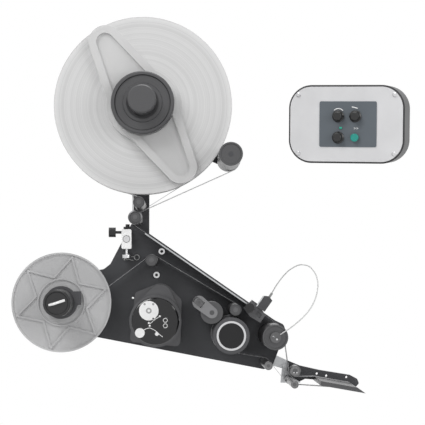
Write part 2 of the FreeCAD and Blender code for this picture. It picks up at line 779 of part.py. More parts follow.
add_pad(lever, sleeve, "lever_thick", f"lever_front - 2 * lever_thick - {CHEEK_BACK}")
add_pad(lever, front_cheek, f"lever_front - lever_thick - {CHEEK_BACK}", "lever_thick")
LEVER_ANGLE = f"atan2(pivot_z - {PRESSURE_Z}; pivot_x - {PRESSURE_X})"


def on_lever(ahead, aside):
    """A point from the pivot, along the lever away from the roller and across it."""
    return (f"pivot_x + ({ahead}) * cos({LEVER_ANGLE}) - ({aside}) * sin({LEVER_ANGLE})",
            f"pivot_z + ({ahead}) * sin({LEVER_ANGLE}) + ({aside}) * cos({LEVER_ANGLE})")


# The front cheek ends in two prongs, so that it slips over the post.
SLOT_HALF = "(pivot_dia / 2 + 0.5)"
cut_pocket(lever, lambda sketch: polygon(sketch, [
    on_lever("-8", f"-{SLOT_HALF}"), on_lever("16", f"-{SLOT_HALF}"), on_lever("16", SLOT_HALF),
    on_lever("-8", SLOT_HALF)]), f"lever_front - {CHEEK_BACK}", "lever_thick")
keep(lever, "pressure_lever")
PINCH_BACK = f"({CHEEK_BACK} + lever_thick + gap)"
PINCH_FRONT = "(lever_front - lever_thick - gap)"
keep(turned("pressure_roller", [
    ("0", f"{CHEEK_BACK} + 0.5"), ("axle_dia / 2", f"{CHEEK_BACK} + 0.5"), ("axle_dia / 2", PINCH_BACK),
    ("pressure_dia / 2", PINCH_BACK), ("pressure_dia / 2", f"{PINCH_FRONT} - 0.7"),
    ("pressure_dia / 2 - 0.7", PINCH_FRONT), ("axle_dia / 2", PINCH_FRONT), ("axle_dia / 2", "lever_front"),
    ("0", "lever_front")], PRESSURE_X, PRESSURE_Z), "pressure_roller")

# ---------------------------------------------------------------- supply reel

SPINDLE_R = "(spindle_dia / 2)"
HOUSING_BORE = f"({SPINDLE_R} + axle_fit)"
supply_housing = turned("supply_housing", [
    (HOUSING_BORE, COLUMN_DEPTH), ("nose_dia / 2 - 8", COLUMN_DEPTH), ("nose_dia / 2 - 8", "-plate_thick"),
    ("nose_dia / 2 + 5", "-plate_thick"), ("nose_dia / 2 + 5", "-plate_thick + 2.7"),
    ("nose_dia / 2", "-plate_thick + 2.7"), ("nose_dia / 2", "nose_front"), (HOUSING_BORE, "nose_front")],
    "supply_x", "supply_z")
HUB_BORE = "(shaft_dia / 2 + axle_fit)"


def plate_bearing(name, x, z):
    """A flanged bearing housing pressed into the plate."""
    return turned(name, [
        (HUB_BORE, "-plate_thick - 6"), ("shaft_dia / 2 + 12", "-plate_thick - 6"),
        ("shaft_dia / 2 + 12", "-plate_thick"), ("shaft_dia / 2 + 6", "-plate_thick"),
        ("shaft_dia / 2 + 6", "1"), (HUB_BORE, "1")], x, z)


keep(joined("bearing_housings", [
    supply_housing, plate_bearing("rewind_housing", "rewind_x", "rewind_z"),
    plate_bearing("drive_housing", "drive_x", "drive_z")]), "bearing_housings")
DISC_FRONT = "(back_disc_depth + back_disc_thick)"
CORE_FRONT = "(web_back + web_wide)"
keep(turned("supply_spindle", [
    ("0", f"{COLUMN_DEPTH} - 5"), (f"{SPINDLE_R} + 4", f"{COLUMN_DEPTH} - 5"),
    (f"{SPINDLE_R} + 4", f"{COLUMN_DEPTH} - 1"), (SPINDLE_R, f"{COLUMN_DEPTH} - 1"),
    (SPINDLE_R, "back_disc_depth"), ("back_disc_dia / 2", "back_disc_depth"),
    ("back_disc_dia / 2", DISC_FRONT), ("mandrel_dia / 2", DISC_FRONT),
    ("mandrel_dia / 2", CORE_FRONT), (SPINDLE_R, CORE_FRONT), (SPINDLE_R, "spindle_front"),
    ("0", "spindle_front")], "supply_x", "supply_z"), "supply_spindle")
CORE_R = "(core_bore / 2)"
keep(turned("roll_core", [
    (CORE_R, "web_back"), (f"{CORE_R} + core_wall", "web_back"), (f"{CORE_R} + core_wall", CORE_FRONT),
    (CORE_R, CORE_FRONT)], "supply_x", "supply_z"), "roll_core")
keep(turned("label_roll", [
    (f"{CORE_R} + core_wall + seat", "web_back"), ("roll_dia / 2", "web_back"), ("roll_dia / 2", CORE_FRONT),
    (f"{CORE_R} + core_wall + seat", CORE_FRONT)], "supply_x", "supply_z"), "label_roll")

# The retaining arm clamps the roll: two long ends with raised borders about a wide middle.
ARM_BACK = f"({CORE_FRONT} + 2 * seat)"


def arm_outline(sketch, shrink):
    """The arm's outline, made smaller all round."""
    ends = [(f"supply_x + {s} * arm_reach * cos(arm_angle)", f"supply_z + {s} * arm_reach * sin(arm_angle)",
             f"arm_end_dia - 2 * {shrink}") for s in (1, -1)]
    hull(sketch, [ends[0], ("supply_x", "supply_z", f"arm_centre_dia - 2 * {shrink}"), ends[1],
                  ("supply_x", "supply_z", f"arm_centre_dia - 2 * {shrink}")])


arm = padded("retaining_arm", lambda sketch: arm_outline(sketch, "0"), ARM_BACK, "arm_thick",
             [("supply_x", "supply_z", "spindle_dia + 2 * seat")])
cut_pocket(arm, lambda sketch: arm_outline(sketch, "arm_rim"), "arm_thick", "arm_pocket")


def arm_boss(sketch):
    """A lower round boss behind the hub."""
    circle(sketch, "supply_x", "supply_z", "arm_boss_dia")
    circle(sketch, "supply_x", "supply_z", "spindle_dia + 2 * seat")


add_pad(arm, arm_boss, "0", "arm_boss_thick")
keep(arm, "retaining_arm")
HUB_BACK = f"({ARM_BACK} + arm_thick + seat)"
keep(turned("supply_hub", [
    (f"{SPINDLE_R} + seat", HUB_BACK), ("hub_dia / 2 - 1", HUB_BACK), ("hub_dia / 2", f"{HUB_BACK} + 1"),
    ("hub_dia / 2", "hub_front - 2"), ("hub_dia / 2 - 2", "hub_front"), ("hub_dia / 2 - 6", "hub_front"),
    ("hub_dia / 2 - 7.5", "hub_front - 3.5"), ("hub_dia / 2 - 20", "hub_front - 3.5"),
    ("hub_dia / 2 - 21", "hub_front - 1.5"), ("knob_dia / 2 + 4", "hub_front - 1.5"),
    ("knob_dia / 2 - 1.5", "hub_front - 3.5"), ("knob_dia / 2 - 1.5", "knob_front - 27"),
    ("knob_dia / 2", "knob_front - 25"), ("knob_dia / 2", "knob_front - 2"),
    ("knob_dia / 2 - 2", "knob_front"), ("0", "knob_front"), ("0", "spindle_front + seat"),
    (f"{SPINDLE_R} + seat", "spindle_front + seat")], "supply_x", "supply_z"), "supply_hub")

# Dancer: a lever about the reel's bearing nose, with a roller on its end.
ARM_FRONT = "(nose_front - gap)"
ARM_REAR = f"({ARM_FRONT} - dancer_arm_thick)"
dancer = padded("dancer_arm", lambda sketch: hull(sketch, [
    ("supply_x", "supply_z", "nose_dia + 22"), (DANCER_X, DANCER_Z, "26")]), ARM_REAR, "dancer_arm_thick",
    [("supply_x", "supply_z", "nose_dia + 2 * axle_fit")])
add_pad(dancer, lambda sketch: circle(sketch, DANCER_X, DANCER_Z, "axle_dia + 6"), "dancer_arm_thick",
        f"roller_back - gap - {ARM_FRONT}")
add_pad(dancer, lambda sketch: circle(sketch, DANCER_X, DANCER_Z, "axle_dia"),
        f"dancer_arm_thick + roller_back - gap - {ARM_FRONT}", "roller_front - roller_dish / 2 - roller_back + gap")
keep(dancer, "dancer_arm")
roller("dancer_roller", DANCER_X, DANCER_Z, "dancer_dia", "axle_dia", rim="3")

# ---------------------------------------------------------------- rewind reel

REWIND_R = "(rewind_mandrel_dia / 2)"
keep(turned("rewind_mandrel", [
    ("0", "rewind_belt_depth - 4"), ("shaft_dia / 2", "rewind_belt_depth - 4"),
    ("shaft_dia / 2", "1.3"), ("rewind_back_dia / 2", "1.3"), ("rewind_back_dia / 2", "5.3"),
    (REWIND_R, "5.3"), (REWIND_R, "rewind_front - 2"), (f"{REWIND_R} - 2", "rewind_front"),
    (f"{REWIND_R} - 4", "rewind_front"), (f"{REWIND_R} - 5", "rewind_front - 1.5"),
    ("0", "rewind_front - 1.5")], "rewind_x", "rewind_z"), "rewind_mandrel")
keep(turned("wound_liner", [
    (f"{REWIND_R} + seat", "web_back"), ("liner_dia / 2", "web_back"),
    ("liner_dia / 2", CORE_FRONT), (f"{REWIND_R} + seat", CORE_FRONT)], "rewind_x", "rewind_z"), "wound_liner")

# The clear disc is stiffened by a rim, an inner ring and a zigzag rib with six points.
DISC_R = "(rewind_disc_dia / 2)"


def zigzag(sketch, outer, inner, turn):
    """A star-shaped outline of six points."""
    corners = []
    for k in range(6):
        for radius, half in ((outer, 0), (inner, 30)):
            angle = f"({60 * k + half} + {turn})"
            corners.append((f"rewind_x + ({radius}) * cos{angle}", f"rewind_z + ({radius}) * sin{angle}"))
    polygon(sketch, corners)


def rim_rib(sketch):
    """The raised rim."""
    circle(sketch, "rewind_x", "rewind_z", "rewind_disc_dia")
    circle(sketch, "rewind_x", "rewind_z", "rewind_disc_dia - 6")


def inner_rib(sketch):
    """The raised inner ring."""
    circle(sketch, "rewind_x", "rewind_z", "rewind_mandrel_dia + 37")
    circle(sketch, "rewind_x", "rewind_z", "rewind_mandrel_dia + 32")


def star_rib(sketch):
    """The zigzag rib between them."""
    zigzag(sketch, f"{DISC_R} - 3.2", "rewind_mandrel_dia / 2 + 24", "17")
    zigzag(sketch, f"{DISC_R} - 9.2", "rewind_mandrel_dia / 2 + 20", "17")


disc = padded("rewind_disc", lambda sketch: circle(sketch, "rewind_x", "rewind_z", "rewind_disc_dia"),
              "rewind_disc_depth", "rewind_disc_thick",
              [("rewind_x", "rewind_z", "rewind_mandrel_dia + 2 * seat")])
for rib in (rim_rib, inner_rib, star_rib):
    add_pad(disc, rib, "rewind_disc_thick", "rewind_rib")
keep(disc, "rewind_disc")

# The clamp ring grips the mandrel in front of the disc; its square ear holds the clamp screw.
CLAMP_BACK = "(rewind_disc_depth + rewind_disc_thick + rewind_rib + seat)"
clamp = padded("disc_clamp", lambda sketch: circle(sketch, "rewind_x", "rewind_z", "clamp_dia + 6"),
               CLAMP_BACK, "clamp_wide")
add_pad(clamp, lambda sketch: polygon(sketch, [
    ("rewind_x + 18", "rewind_z - 4"), ("rewind_x + 34", "rewind_z - 4"), ("rewind_x + 34", "rewind_z + 19"),
    ("rewind_x + 18", "rewind_z + 19")]), "0", "clamp_wide")
cut_pocket(clamp, lambda sketch: circle(sketch, "rewind_x", "rewind_z", "rewind_mandrel_dia + 2 * seat"),
           "clamp_wide", "clamp_wide")
keep(clamp, "disc_clamp")

# ---------------------------------------------------------------- motor, housing and belts

DRUM_R = "(drum_dia / 2)"
housing = padded("motor_housing", lambda sketch: hull(sketch, [
    ("motor_x - 37", "motor_z - 30", "16"), ("motor_x + 34", "motor_z - 36", "18"),
    ("motor_x + 36", "motor_z + 32", "18"), ("lobe_x", "lobe_z", "lobe_dia + 4"),
    ("motor_x - 29", "motor_z + 43", "16")]), "0", "housing_foot")
add_pad(housing, lambda sketch: hull(sketch, [
    ("motor_x", "motor_z", "drum_dia"), ("lobe_x", "lobe_z", "lobe_dia")]), "0", "lobe_front")
add_pad(housing, lambda sketch: circle(sketch, "motor_x", "motor_z", "drum_dia"), "0", "drum_front")
cut_pocket(housing, lambda sketch: hull(sketch, [
    ("motor_x", "motor_z", "drum_dia - 2 * housing_wall"), ("lobe_x", "lobe_z", "lobe_dia - 2 * housing_wall")]),
    "lobe_front - housing_wall", "lobe_front - housing_wall")
cut_pocket(housing, lambda sketch: circle(sketch, "motor_x", "motor_z", "drum_dia - 2 * housing_wall"),
           "drum_front - housing_wall", "drum_front - housing_wall")
keep(housing, "motor_housing")
cap = turned("housing_cap", [
    ("0", "drum_front"), ("cap_dia / 2", "drum_front"), ("cap_dia / 2", "cap_front - 2.5"),
    ("cap_dia / 2 - 0.8", "cap_front - 0.8"), ("cap_dia / 2 - 2.5", "cap_front"), ("0", "cap_front")],
    "motor_x", "motor_z")
keep(cap, "housing_cap")
MOTOR_FRONT = "motor_long"
motor = turned("drive_motor", [
    ("0", "drive_belt_depth - 1.5"), ("motor_shaft_dia / 2", "drive_belt_depth - 1.5"),
    ("motor_shaft_dia / 2", "0"), ("motor_dia / 2", "0"), ("motor_dia / 2", f"{MOTOR_FRONT} - 6"),
    ("motor_dia / 2 - 4", f"{MOTOR_FRONT} - 6"), ("motor_dia / 2 - 4", MOTOR_FRONT), ("0", MOTOR_FRONT)],
    "motor_x", "motor_z")
keep(motor, "drive_motor")


def belt(name, ends, depth):
    """A flat belt, closed round two pulleys."""
    stops = [(value(x), value(z), value(f"({d}) / 2 + gap + belt_thick / 2"), 1) for x, z, d in ends]
    solid = band(tangent_route(stops, closed=True), value("belt_thick"), value(depth) + value("gap"),
                 value("belt_wide - 2 * gap"), closed=True)
    return keep(shaped(name, solid), name)


belt("drive_belt", [("motor_x", "motor_z", "motor_pulley_dia"), ("drive_x", "drive_z", "drive_pulley_dia")],
     "drive_belt_depth")
belt("rewind_belt", [("rewind_x", "rewind_z", "rewind_pulley_dia"), ("drive_x", "drive_z", "transfer_pulley_dia")],
     "rewind_belt_depth")

# ---------------------------------------------------------------- tray and web

# The tray is a thin shelf under the web, welded to the plate's face along its back edge.
TRAY_LEFT = "(lower_idler_x + 14)"
TRAY_RIGHT = "(end_x - 14)"


def slanted(name, left, right, low, high, depth, thick):
    """A bar along the sloping run, between two distances below the web."""
    return padded(name, lambda sketch: polygon(sketch, [
        (left, run_z(left, low)), (right, run_z(right, low)), (right, run_z(right, high)),
        (left, run_z(left, high))]), depth, thick)


tray = slanted("web_tray", TRAY_LEFT, TRAY_RIGHT, "-web_thick / 2 - gap - 2", "-web_thick / 2 - gap",
               "0", "web_back + web_wide + 2")
keep(tray, "web_tray")


def web(pieces_of_route):
    """A stretch of the web as one band."""
    return band(pieces_of_route, value("web_thick"), value("web_back"), value("web_wide"))


dancer_strands = Part.makeCompound([web([route[0]]), web([route[2]])])
keep(shaped("web_dancer_run", dancer_strands), "web_dancer_run")
keep(shaped("web_dancer_wrap", web([route[1]])), "web_dancer_wrap")
keep(shaped("label_web_run", web(route[3:14])), "label_web_run")
keep(shaped("liner_run", web(route[14:])), "liner_run")

# ---------------------------------------------------------------- peel arm

bracket_corners = [
    ("150", "-121.5"), ("150", "-141"), ("175.5", "-148.3"), ("172.9", "-173.5"), ("207.3", "-173.5"),
    ("207.3", "-144.7"), ("166.7", "-126.2")]
bracket = padded("peel_bracket", lambda sketch: polygon(sketch, bracket_corners),
    "-plate_thick - peel_plate_thick", "peel_plate_thick",
    [("peel_lower_x", "peel_lower_z", STUD_HOLE), ("peel_upper_x", "peel_upper_z", STUD_HOLE)])
add_pad(bracket, lambda sketch: circle(sketch, "179", "-142.8", "7"), "peel_plate_thick", "5")
keep(bracket, "peel_bracket")
side_corners = [
    ("186", "-134.7"), ("184", "-152"), ("196", "-166"), ("205.4", "-170.4"), ("215", "-166"),
    ("232.6", "-167.4"), ("241.4", "-169.5"), ("302", "-182"), ("309.5", "-174"), ("306.3", "-166"),
    ("294", "-159.5"), ("241.4", "-151"), ("206.2", "-143.1")]
side_plate = padded("peel_side_plate", lambda sketch: polygon(sketch, side_corners),
                    "-plate_thick", "plate_thick",
                    [("peel_upper_x", "peel_upper_z", STUD_HOLE), ("235.7", "-157", "4.5"),
                     ("252.4", "-160.7", "4.5"), ("287.7", "-163.3", "4.5")])
rounded(side_plate, side_corners[7:10], "3")
keep(side_plate, "peel_side_plate")
keep(padded("peel_blade", lambda sketch: polygon(sketch, [
    ("blade_back_x", "blade_top_z"), ("blade_back_x", "blade_low_z"), ("blade_tip_x", "blade_tip_z"),
    ("blade_shoulder_x", "blade_shoulder_z")]), "0", "blade_front"), "peel_blade")

# ---------------------------------------------------------------- web brake beside the neck

BLOCK_LOW = "(brake_z - brake_tall / 2)"
BLOCK_HIGH = "(brake_z + brake_tall / 2)"
BLOCK_LEFT = "(brake_x - brake_wide / 2)"
BLOCK_RIGHT = "(brake_x + brake_wide / 2)"
block_corners = [(BLOCK_LEFT, BLOCK_LOW), (BLOCK_RIGHT, BLOCK_LOW), (BLOCK_RIGHT, BLOCK_HIGH),
                 (BLOCK_LEFT, BLOCK_HIGH)]
block = padded("brake_block_solid", lambda sketch: polygon(sketch, block_corners), "0", "brake_thick")
rounded(block, block_corners, "2.5")
cut_pocket(block, lambda sketch: circle(sketch, "brake_x", "brake_z", "13"), "brake_thick", "6")


def block_hole(name, diameter, long, rotation, x, z, depth):
    """A bar lying across the block, for the hole of a screw."""
    bar = doc.addObject("Part::Cylinder", name)
    bar.setExpression("Radius", linked(f"({diameter}) / 2"))
    bar.setExpression("Height", linked(long))
    return place(bar, x, z, depth, rotation)


LEFTWARDS = Rotation(Vector(0, 1, 0), -90)
DOWNWARDS = Rotation(Vector(1, 0, 0), 180)
SIDEWAYS_DEPTH = "(brake_thick / 2)"
side_hole = block_hole("side_hole", "brake_stem_dia + 2 * axle_fit", "6", LEFTWARDS,
                       f"{BLOCK_LEFT} + 6", "brake_knob_z", SIDEWAYS_DEPTH)
under_hole = block_hole("under_hole", "brake_stem_dia - 1 + 2 * axle_fit", "6", DOWNWARDS,
                        "brake_x", f"{BLOCK_LOW} + 6", SIDEWAYS_DEPTH)
keep(cut("brake_block", block, joined("block_holes", [side_hole, under_hole])), "brake_block")
KNOB_RIGHT = "(brake_knob_left + brake_knob_long)"
keep(joined("brake_knob_set", [
    block_hole("brake_knob_grip", "brake_knob_dia", "brake_knob_long", LEFTWARDS, KNOB_RIGHT,
               "brake_knob_z", SIDEWAYS_DEPTH),
    block_hole("brake_knob_stem", "brake_stem_dia", f"{BLOCK_LEFT} + 5.5 - {KNOB_RIGHT}", LEFTWARDS,
               f"{BLOCK_LEFT} + 5.5", "brake_knob_z", SIDEWAYS_DEPTH)]), "brake_knob")
keep(joined("brake_thumbnut_set", [
    block_hole("thumb_grip", "thumbnut_dia", "6", DOWNWARDS, "brake_x", "thumbnut_z", SIDEWAYS_DEPTH),
    block_hole("thumb_stem", "brake_stem_dia - 1", f"{BLOCK_LOW} + 5.5 - thumbnut_z", DOWNWARDS,
               "brake_x", f"{BLOCK_LOW} + 5.5", SIDEWAYS_DEPTH)]), "brake_thumbnut")

# The strap lies round the back disc's rim; each end is held at the column.
RIM_GAP = value("back_disc_dia / 2 + gap + strap_thick / 2")
strap_route = tangent_route([
    (value("strap_clip_x"), value("strap_clip_z"), 0, 1),
    (value("supply_x"), value("supply_z"), RIM_GAP, 1),
    (value("column_left + 6"), value("supply_z") - RIM_GAP - 4, 0, 1)])
strap = band(strap_route, value("strap_thick"), value("back_disc_depth") + 0.5, value("strap_wide"))
keep(shaped("brake_strap", strap), "brake_strap")
keep(padded("brake_rod", lambda sketch: polygon(sketch, [
    ("column_left - rod_wide", "rod_low_z"), ("column_left", "rod_low_z"), ("column_left", "rod_high_z"),
    ("column_left - rod_wide", "rod_high_z")]), "rod_depth", "5"), "brake_rod")

# ---------------------------------------------------------------- label sensor on the tray

FORK_BACK = "(web_back + web_wide + 2)"
fork = padded("sensor_fork", lambda sketch: polygon(sketch, [
    ("105", "-41"), ("116", "-56"), ("133.7", "-66.5"), ("143", "-53"), ("134", "-41"), ("118", "-29")]),
    FORK_BACK, "10", [("sensor_knob_x", "sensor_knob_z", "6")])


def jaw(sketch, low, high):
    """A jaw of the fork along the web, between two distances from it."""
    polygon(sketch, [("120", run_z("120", low)), ("134", run_z("134", low)),
                     ("134", run_z("134", high)), ("120", run_z("120", high))])


cut_pocket(fork, lambda sketch: polygon(sketch, [
    ("124.7", "-51.6"), ("132.5", "-59.4"), ("136.8", "-53.3"), ("129.9", "-46.4")]), "10", "4")
add_pad(fork, lambda sketch: jaw(sketch, "fork_gap / 2", "fork_gap / 2 + 5"), "-fork_reach", "fork_reach")
add_pad(fork, lambda sketch: jaw(sketch, "-fork_gap / 2 - 5", "-fork_gap / 2"), "-fork_reach", "fork_reach")
keep(fork, "sensor_fork")
sensor = padded("sensor_body", lambda sketch: polygon(sketch, [
    ("127.8", "-39.4"), ("140.6", "-47.3"), ("153.9", "-28.5"), ("148.2", "-20.9"), ("140.3", "-20.2")]),
    f"{FORK_BACK} + 10 + seat", "sensor_thick - 10")
keep(sensor, "sensor_body")
keep(joined("sensor_knob_set", [
    rod("sensor_knob_grip", "sensor_knob_x", "sensor_knob_z", f"{FORK_BACK} + 10 + gap", "sensor_knob_dia", "11"),
    rod("sensor_knob_stem", "sensor_knob_x", "sensor_knob_z", f"{FORK_BACK} + 1", "5.9", "9 + gap")]),
    "sensor_knob")

# The sensor's thin cable loops out to the right and returns to the hub of the end roller.
CABLE_POINTS = [(150, -22, 52), (157, -8, 57), (168, 9, 64), (181, 24, 72), (199, 34, 82), (215, 31, 91),
                (225, 17, 99), (228, 0, 108), (224, -20, 117), (214, -40, 127), (198, -57, 136),
                (179, -72, 141)]


def cable(points, diameter):
    """A tube of straight runs joined by arcs that touch them."""
    spots = [Vector(x, -(value("plate_front") + depth), z) for x, z, depth in points]
    edges = []
    start = spots[0]
    radii = []
    for before, corner, after in zip(spots, spots[1:], spots[2:]):
        one = (before - corner)
        two = (after - corner)
        turn = math.pi - one.getAngle(two)
        shorter = min(one.Length, two.Length)
        radius = 0.45 * shorter / math.tan(turn / 2)
        reach = 0.45 * shorter
        first = corner + one.normalize() * reach
        last = corner + two.normalize() * reach
        middle = corner + (one + two).normalize() * (radius / math.cos(turn / 2) - radius)
        edges.append(Part.LineSegment(start, first).toShape())
        edges.append(Part.Arc(first, middle, last).toShape())
        start = last
        radii.append(round(radius, 1))
    edges.append(Part.LineSegment(start, spots[-1]).toShape())
    path = Part.Wire(edges)
    section = Part.Wire([Part.Circle(spots[0], spots[1] - spots[0], diameter / 2).toShape()])
    tube = path.makePipeShell([section], True, True)
    print("cable radii", radii, "length", round(path.Length, 1),
          "volume ratio", round(tube.Volume / (math.pi * diameter ** 2 / 4 * path.Length), 4))
    return tube


hub_turn = math.atan2(CABLE_POINTS[-1][1] - value("end_z"), CABLE_POINTS[-1][0] - value("end_x"))
HUB_TOUCH = value("end_cap_dia / 2 + 2 * seat")
CABLE_END = (value("end_x") + HUB_TOUCH * math.cos(hub_turn), value("end_z") + HUB_TOUCH * math.sin(hub_turn),
             value("(roller_front + end_cap_front) / 2"))
keep(shaped("sensor_cable", cable(CABLE_POINTS + [CABLE_END], value("cable_dia"))), "sensor_cable")

# ---------------------------------------------------------------- control box

# Its pieces are drawn about the middle of its front, then turned together to face the operator.


def on_box(body, depth):
    """Put a piece in the box's own axes at a depth in front of the box's body."""
    turn = Rotation(value("box_yaw"), value("box_roll"), value("box_pitch"))
    forward = turn.multVec(Vector(0, -1, 0))
    body.Placement = Placement(Vector(), turn)
    body.setExpression(".Placement.Base.x", linked(f"box_x + ({depth}) * {forward.x}"))
    body.setExpression(".Placement.Base.y", linked(f"-(plate_front + box_depth) + ({depth}) * {forward.y}"))
    body.setExpression(".Placement.Base.z", linked(f"box_z + ({depth}) * {forward.z}"))


def box_plate(name, wide, tall, round_by, depth, thick, holes=(), aside="0"):
    """A plate with rounded corners, in the box's own axes and aside from its middle."""
    half = (f"(({wide}) / 2)", f"(({tall}) / 2)")
    corners = [(f"{aside} {a} {half[0]}", f"0 {b} {half[1]}") for a, b in ("--", "+-", "++", "-+")]
    body = padded(name, lambda sketch: polygon(sketch, corners), "0", thick, holes)
    if round_by != "0":
        rounded(body, corners, round_by)
    on_box(body, depth)
    return body


# PartDesign bodies that are turned keep their sketches in their own axes.
def box_turned(name, profile, x, z, depth):
    """A turned piece, such as a knob, standing on the box's front."""
    body = turned(name, profile, "0", "0")
    turn = Rotation(value("box_yaw"), value("box_roll"), value("box_pitch"))
    aside = turn.multVec(Vector(1, 0, 0)) * x + turn.multVec(Vector(0, 0, 1)) * z
    forward = turn.multVec(Vector(0, -1, 0))
    body.Placement = Placement(Vector(), turn)
    body.setExpression(".Placement.Base.x", linked(f"box_x + {aside.x} + ({depth}) * {forward.x}"))
    body.setExpression(".Placement.Base.y",
                       linked(f"-(plate_front + box_depth) + {aside.y} + ({depth}) * {forward.y}"))
    body.setExpression(".Placement.Base.z", linked(f"box_z + {aside.z} + ({depth}) * {forward.z}"))
    return body


SHELL_DEPTH = "-box_deep"
shell = box_plate("box_body", "box_wide", "box_tall", "box_round", SHELL_DEPTH, "box_deep")
cut_pocket(shell, lambda sketch: polygon(sketch, [
    ("-box_wide / 2 + box_round / 3", "-box_tall / 2 + box_round / 3"),
    ("box_wide / 2 - box_round / 3", "-box_tall / 2 + box_round / 3"),
    ("box_wide / 2 - box_round / 3", "box_tall / 2 - box_round / 3"),
    ("-box_wide / 2 + box_round / 3", "box_tall / 2 - box_round / 3")]), "box_deep", "box_deep - box_wall")
keep(shell, "box_body")
DIALS = {"speed_knob": (-13.1, 13.6), "delay_knob": (16.5, 13.6), "mode_knob": (-13.1, -22.7)}
BUTTON = (15.8, -22.7)
SPINDLES = [(str(x), str(z), "6.2") for x, z in DIALS.values()] + [(str(BUTTON[0]), str(BUTTON[1]), "9.2")]
keep(box_plate("box_face", "box_wide - 2 * face_inset", "box_tall - 2 * face_inset", "box_round - face_inset",
               "0", "face_thick", SPINDLES), "box_face")
keep(box_plate("box_panel", "panel_wide", "panel_tall", "3", "face_thick", "panel_thick", SPINDLES,
               "panel_aside"), "box_panel")
SCREW_X = value("box_wide / 2 - screw_inset")
SCREW_Z = value("box_tall / 2 - screw_inset")
box_screws = [box_turned(f"box_screw_{i}", [("0", "0"), ("4", "0"), ("4", "1.2"), ("2.8", "2.6"), ("0", "2.6")],
                         a * SCREW_X, b * SCREW_Z, "face_thick")
              for i, (a, b) in enumerate([(-1, -1), (1, -1), (1, 1), (-1, 1)])]
keep(joined("cap_screws", screws + box_screws), "cap_screws")
PANEL_FRONT = "face_thick + panel_thick"
for dial, (x, z) in DIALS.items():
    keep(box_turned(dial, [
        ("0", "-8"), ("3", "-8"), ("3", "gap"), ("dial_dia / 2", "gap"), ("dial_dia / 2", "3"),
        ("dial_dia / 2 - 2", "4.5"), ("dial_dia / 2 - 3", "dial_tall - 1"), ("dial_dia / 2 - 4", "dial_tall"),
        ("0", "dial_tall")], x, z, PANEL_FRONT), dial)
keep(box_turned("start_button", [
    ("0", "-8"), ("4.5", "-8"), ("4.5", "4"), ("button_dia / 2", "4"), ("button_dia / 2", "6.5"),
    ("button_dia / 2 - 1", "7.5"), ("0", "7.5")], *BUTTON, PANEL_FRONT), "start_button")

# ---------------------------------------------------------------- writing

doc.recompute()
for item in doc.Objects:
    if "Invalid" in item.State or "Error" in item.State:
        raise RuntimeError(f"{item.Name} failed: {item.State}")
for piece in pieces:
    if piece.Shape.isNull() or not piece.Shape.isValid():
        raise RuntimeError(f"{piece.Label} has no valid shape")

os.makedirs("parts", exist_ok=True)
for piece in pieces:
    piece.Shape.exportStep(f"parts/{piece.Label}.step")
    print(piece.Label, len(piece.Shape.Solids), round(piece.Shape.Volume))
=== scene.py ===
import bpy
import math
import numpy as np
from mathutils import Euler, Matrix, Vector


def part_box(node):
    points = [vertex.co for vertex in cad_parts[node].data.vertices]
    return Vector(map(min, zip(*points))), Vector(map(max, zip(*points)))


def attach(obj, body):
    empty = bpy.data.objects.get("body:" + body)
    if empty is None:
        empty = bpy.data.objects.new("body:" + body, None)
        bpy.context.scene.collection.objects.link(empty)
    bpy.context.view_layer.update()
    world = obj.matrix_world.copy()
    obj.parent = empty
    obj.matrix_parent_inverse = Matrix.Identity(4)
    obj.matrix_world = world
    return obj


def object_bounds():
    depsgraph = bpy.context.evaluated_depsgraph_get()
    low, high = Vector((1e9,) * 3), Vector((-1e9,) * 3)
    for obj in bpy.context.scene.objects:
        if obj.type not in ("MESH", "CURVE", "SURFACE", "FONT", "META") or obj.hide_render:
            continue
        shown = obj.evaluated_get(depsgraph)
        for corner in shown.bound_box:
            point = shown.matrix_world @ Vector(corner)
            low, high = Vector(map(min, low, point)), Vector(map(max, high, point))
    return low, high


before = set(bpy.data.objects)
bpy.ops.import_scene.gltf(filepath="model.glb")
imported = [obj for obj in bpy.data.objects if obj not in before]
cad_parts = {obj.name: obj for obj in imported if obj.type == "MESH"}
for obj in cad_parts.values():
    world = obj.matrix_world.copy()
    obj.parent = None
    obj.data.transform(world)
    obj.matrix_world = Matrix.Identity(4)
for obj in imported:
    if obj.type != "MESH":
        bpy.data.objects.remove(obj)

cad_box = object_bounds()
scene = bpy.context.scene

# ------------------------------------------------------------------ studio
# A pale room: one floor under the head and a plain wall behind it, soft lamps above and
# beside the camera, and a long lens a little to the left of the machine and level with its post.

lens_place = Vector((-0.008, -2.59, 0.007))
half_view = 212.5 / 1423.7
camera_data = bpy.data.cameras.new("camera")
camera_data.lens = 18 / half_view
camera_data.sensor_width = 36
camera_data.clip_end = 60
camera = bpy.data.objects.new("camera", camera_data)
camera.location = lens_place
aim = Vector((0.02423, 1, 0.04741))
camera.rotation_euler = aim.to_track_quat("-Z", "Y").to_euler()
scene.collection.objects.link(camera)
scene.camera = camera
scene.view_settings.view_transform = "Standard"


def lamp(name, place, target, width, watts):
    """A square soft lamp that faces a point."""
    light = bpy.data.lights.new(name, "AREA")
    light.shape = "SQUARE"
    light.size = width
    light.energy = watts
    lamp_object = bpy.data.objects.new(name, light)
    lamp_object.location = place
    lamp_object.rotation_euler = (Vector(target) - Vector(place)).to_track_quat("-Z", "Y").to_euler()
    scene.collection.objects.link(lamp_object)


lamp("key_lamp", (-1.3, -2.0, 1.9), (0, 0, 0.1), 1.3, 42)
lamp("fill_lamp", (1.9, -2.1, 0.7), (0, 0, 0.1), 1.5, 24)
lamp("top_lamp", (0.2, -0.1, 2.3), (0, -0.1, 0), 1.6, 20)


